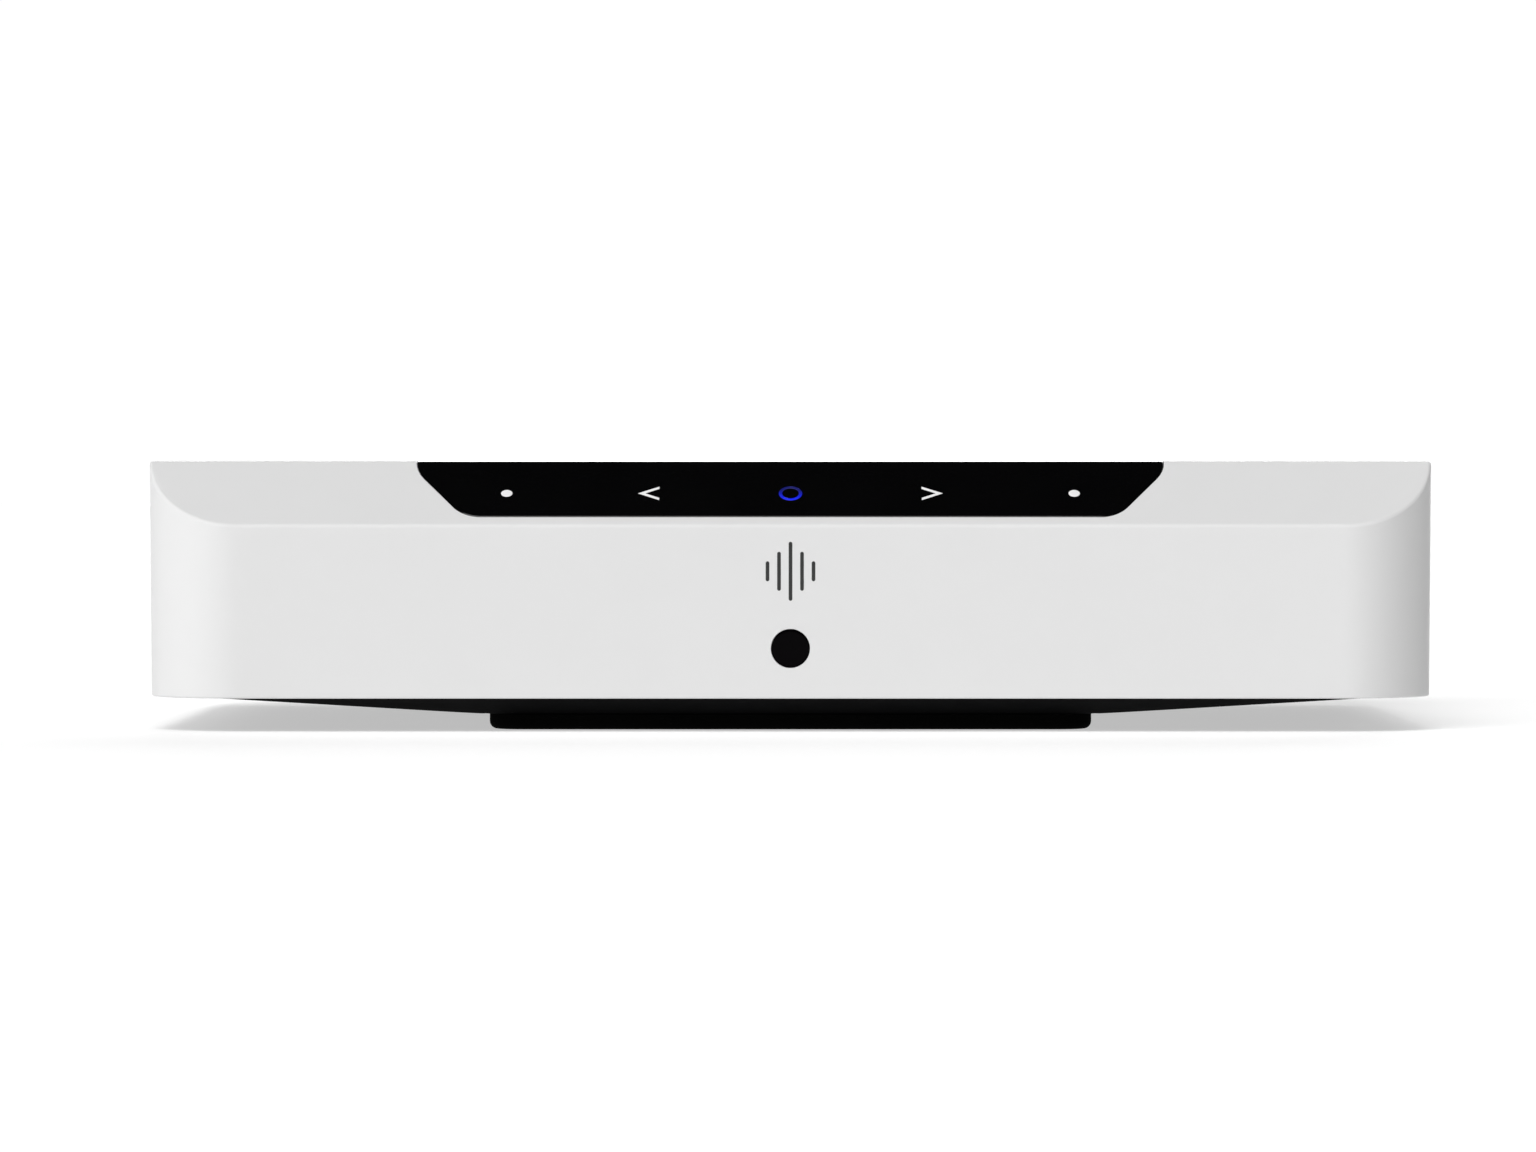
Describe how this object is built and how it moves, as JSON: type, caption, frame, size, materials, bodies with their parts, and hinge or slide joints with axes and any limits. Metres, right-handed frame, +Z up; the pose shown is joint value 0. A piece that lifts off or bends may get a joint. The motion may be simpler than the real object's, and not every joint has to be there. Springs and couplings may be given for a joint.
{
  "type": "streaming media player",
  "caption": "Low white desktop audio streamer with a sloped black touch panel, a black underside on a wide rubber foot, and audio, network and mains sockets behind.",
  "frame": {"origin": "on the table, at the middle of the overall width and depth", "axes": "+X to the right across the width seen from the front, -Y out of the front face, +Z up"},
  "size_m": [0.22, 0.146, 0.046],
  "materials": {
    "white_shell": "satin moulded white",
    "black_shell": "fine matt texture",
    "foot_rubber": "matt moulded rubber",
    "steel": "zinc plated",
    "black_steel": "black oxide",
    "panel_gloss": "polished black acrylic",
    "tape": "bonding tape",
    "light_window": "milky light window",
    "status_light": "blue lit window",
    "circuit_board": "green solder mask",
    "flat_cable": "amber film",
    "window_gloss": "infrared window, deep red-black",
    "tinplate": "tin plated sheet",
    "thermal_rubber": "soft thermal pad",
    "aluminium": "satin",
    "wire_jacket": "wire insulation",
    "winding": "yellow winding tape",
    "clear_glass": "fuse glass",
    "clear_film": "insulation film",
    "socket_black": "glass-filled plastic",
    "gold_plate": "gold plated, bright",
    "tongue_white": "moulded",
    "emitter_red": "red optical lens",
    "button_grey": "moulded",
    "insulator_orange": "moulded",
    "insulator_purple": "moulded",
    "insulator_white": "moulded",
    "insulator_red": "moulded"
  },
  "bodies": {
    "casing": {"top_shell": "white_shell", "bottom_cover": "black_shell", "rubber_foot": "foot_rubber", "rear_panel": "black_shell", "casing_screws": "steel", "panel_screws": "black_steel", "touch_panel": "panel_gloss", "panel_tape": "tape", "touch_dots": "light_window", "touch_arrows": "light_window", "status_ring": "status_light", "light_guide": "light_window", "touch_board": "circuit_board", "touch_ribbon": "flat_cable", "ir_window": "window_gloss", "ir_receiver": "black_shell", "main_board": "circuit_board", "board_screws": "steel", "processor_can": "tinplate", "thermal_pad": "thermal_rubber", "heat_spreader": "aluminium", "audio_can": "tinplate", "board_capacitors": "aluminium", "wireless_module": "circuit_board", "antennas": "circuit_board", "antenna_cables": "wire_jacket", "power_board": "circuit_board", "power_transformer": "winding", "power_capacitor": "aluminium", "power_heatsink": "aluminium", "mains_fuse": "clear_glass", "insulation_sheet": "clear_film", "power_harness": "wire_jacket", "mains_inlet": "socket_black", "inlet_pins": "tinplate", "network_socket": "tinplate", "network_contacts": "gold_plate", "usb_socket": "tinplate", "usb_tongue": "tongue_white", "optical_socket": "socket_black", "optical_emitter": "emitter_red", "reset_switch": "black_shell", "digital_jack_block": "socket_black", "analog_jack_block": "socket_black", "digital_jack_collar": "gold_plate", "sub_jack_collar": "gold_plate", "left_jack_collar": "gold_plate", "right_jack_collar": "gold_plate", "digital_jack_insulator": "insulator_orange", "sub_jack_insulator": "insulator_purple", "left_jack_insulator": "insulator_white", "right_jack_insulator": "insulator_red", "jack_contacts": "gold_plate", "audio_mini_jack": "socket_black", "trigger_mini_jack": "socket_black"},
    "shutter": {"optical_shutter": "socket_black"},
    "reset_key": {"reset_button": "button_grey"}
  },
  "joints": [
    {"name": "optical_shutter_hinge", "type": "hinge", "parent": "casing", "child": "shutter", "pos_m": [-0.001, 0.0628, 0.022], "axis": [-1, 0, 0], "range_deg": [0, 85], "stiffness_Nm_per_rad": 0.0001},
    {"name": "reset_button_press", "type": "slide", "parent": "casing", "child": "reset_key", "axis": [0, -1, 0], "range_m": [0, 0.0005], "stiffness_N_per_m": 2000}
  ]
}
